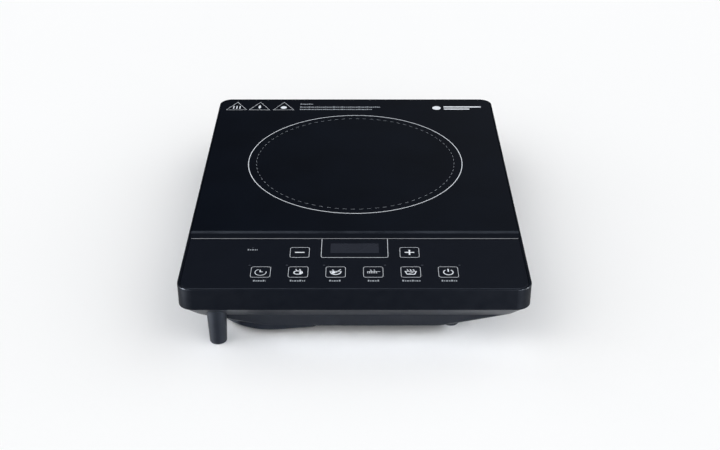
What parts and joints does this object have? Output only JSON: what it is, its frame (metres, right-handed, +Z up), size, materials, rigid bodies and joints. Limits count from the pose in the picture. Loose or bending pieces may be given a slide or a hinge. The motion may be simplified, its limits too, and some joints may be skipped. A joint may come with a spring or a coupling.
{
  "type": "portable induction cooktop",
  "caption": "Portable countertop induction hob with a black glass cooking surface, a front control panel with push keys, and a fan-cooled base on feet.",
  "frame": {"origin": "on the worktop, under the centre of the body", "axes": "+X to the right of someone facing the controls, +Y from the controls to the back, +Z up"},
  "size_m": [0.28, 0.36, 0.06],
  "materials": {
    "case_plastic": "fine matt moulded grain",
    "frame_plastic": "semi-gloss",
    "panel_plastic": "printed from behind, satin gloss",
    "key_plastic": "satin gloss",
    "black_glass": "polished black glass-ceramic",
    "smoked_window": "smoked, smooth",
    "lamp_lens": "frosted",
    "pad_rubber": "matt",
    "gland_rubber": "matt",
    "seal_silicone": "cured silicone",
    "switch_plastic": "matt",
    "board_laminate": "green solder mask",
    "display_plastic": "matt",
    "component_black": "moulded epoxy",
    "litz_copper": "enamelled copper strands",
    "former_resin": "glass-filled resin",
    "ferrite": "sintered",
    "mica": "pressed mica",
    "sensor_glass": "glass bead",
    "fan_plastic": "moulded",
    "motor_steel": "wound laminations",
    "bearing_bronze": "sintered bronze",
    "sink_aluminium": "extruded",
    "can_aluminium": "sleeved can",
    "fuse_ceramic": "glazed",
    "varistor_blue": "epoxy dip",
    "socket_plastic": "nylon",
    "lead_sleeve": "braided glass sleeve",
    "lead_white": "PVC",
    "lead_red": "PVC",
    "ribbon_grey": "PVC",
    "screw_steel": "zinc plated",
    "film_capacitor": "potted box"
  },
  "bodies": {
    "housing": {"bottom_case": "case_plastic", "foot_pads": "pad_rubber", "top_frame": "frame_plastic", "cord_gland": "gland_rubber", "glass_plate": "black_glass", "glass_seal": "seal_silicone", "control_plate": "panel_plastic", "display_window": "smoked_window", "lamp_windows": "lamp_lens", "tact_switches": "switch_plastic", "control_board": "board_laminate", "led_display": "display_plastic", "indicator_lamps": "lamp_lens", "microcontroller": "component_black", "buzzer": "component_black", "induction_coil": "litz_copper", "coil_former": "former_resin", "ferrite_bars": "ferrite", "mica_sheet": "mica", "sensor_holder": "seal_silicone", "coil_sensor": "sensor_glass", "fan_frame": "fan_plastic", "fan_motor": "motor_steel", "fan_bearing": "bearing_bronze", "main_board": "board_laminate", "heatsink": "sink_aluminium", "igbt": "component_black", "bridge_rectifier": "component_black", "insulator_pads": "mica", "igbt_sensor": "component_black", "choke_coil": "litz_copper", "electrolytic_capacitors": "can_aluminium", "board_fuse": "fuse_ceramic", "varistor": "varistor_blue", "board_sockets": "socket_plastic", "coil_leads": "lead_sleeve", "sensor_lead": "lead_white", "fan_lead": "lead_red", "ribbon_cable": "ribbon_grey", "case_screws": "screw_steel", "main_board_screws": "screw_steel", "control_board_screws": "screw_steel", "coil_screws": "screw_steel", "fan_screws": "screw_steel", "device_screws": "screw_steel", "resonant_capacitor": "film_capacitor", "filter_capacitor": "film_capacitor", "mains_filter_capacitor": "film_capacitor", "aux_transformer": "ferrite"},
    "fan_rotor": {"fan_rotor": "fan_plastic", "fan_shaft": "screw_steel"},
    "key_timer": {"key_timer": "key_plastic"},
    "key_steam": {"key_steam": "key_plastic"},
    "key_soup": {"key_soup": "key_plastic"},
    "key_grill": {"key_grill": "key_plastic"},
    "key_hot_pot": {"key_hot_pot": "key_plastic"},
    "key_power": {"key_power": "key_plastic"},
    "key_minus": {"key_minus": "key_plastic"},
    "key_plus": {"key_plus": "key_plastic"}
  },
  "joints": [
    {"name": "fan_spin", "type": "hinge", "parent": "housing", "child": "fan_rotor", "pos_m": [-0.077, -0.1065, 0.02], "axis": [0, 0, 1], "continuous": true},
    {"name": "press_timer", "type": "slide", "parent": "housing", "child": "key_timer", "axis": [0, 0, -1], "range_m": [0, 0.0005], "stiffness_N_per_m": 800, "springref_m": -0.0005},
    {"name": "press_steam", "type": "slide", "parent": "housing", "child": "key_steam", "axis": [0, 0, -1], "range_m": [0, 0.0005], "stiffness_N_per_m": 800, "springref_m": -0.0005},
    {"name": "press_soup", "type": "slide", "parent": "housing", "child": "key_soup", "axis": [0, 0, -1], "range_m": [0, 0.0005], "stiffness_N_per_m": 800, "springref_m": -0.0005},
    {"name": "press_grill", "type": "slide", "parent": "housing", "child": "key_grill", "axis": [0, 0, -1], "range_m": [0, 0.0005], "stiffness_N_per_m": 800, "springref_m": -0.0005},
    {"name": "press_hot_pot", "type": "slide", "parent": "housing", "child": "key_hot_pot", "axis": [0, 0, -1], "range_m": [0, 0.0005], "stiffness_N_per_m": 800, "springref_m": -0.0005},
    {"name": "press_power", "type": "slide", "parent": "housing", "child": "key_power", "axis": [0, 0, -1], "range_m": [0, 0.0005], "stiffness_N_per_m": 800, "springref_m": -0.0005},
    {"name": "press_minus", "type": "slide", "parent": "housing", "child": "key_minus", "axis": [0, 0, -1], "range_m": [0, 0.0005], "stiffness_N_per_m": 800, "springref_m": -0.0005},
    {"name": "press_plus", "type": "slide", "parent": "housing", "child": "key_plus", "axis": [0, 0, -1], "range_m": [0, 0.0005], "stiffness_N_per_m": 800, "springref_m": -0.0005}
  ]
}
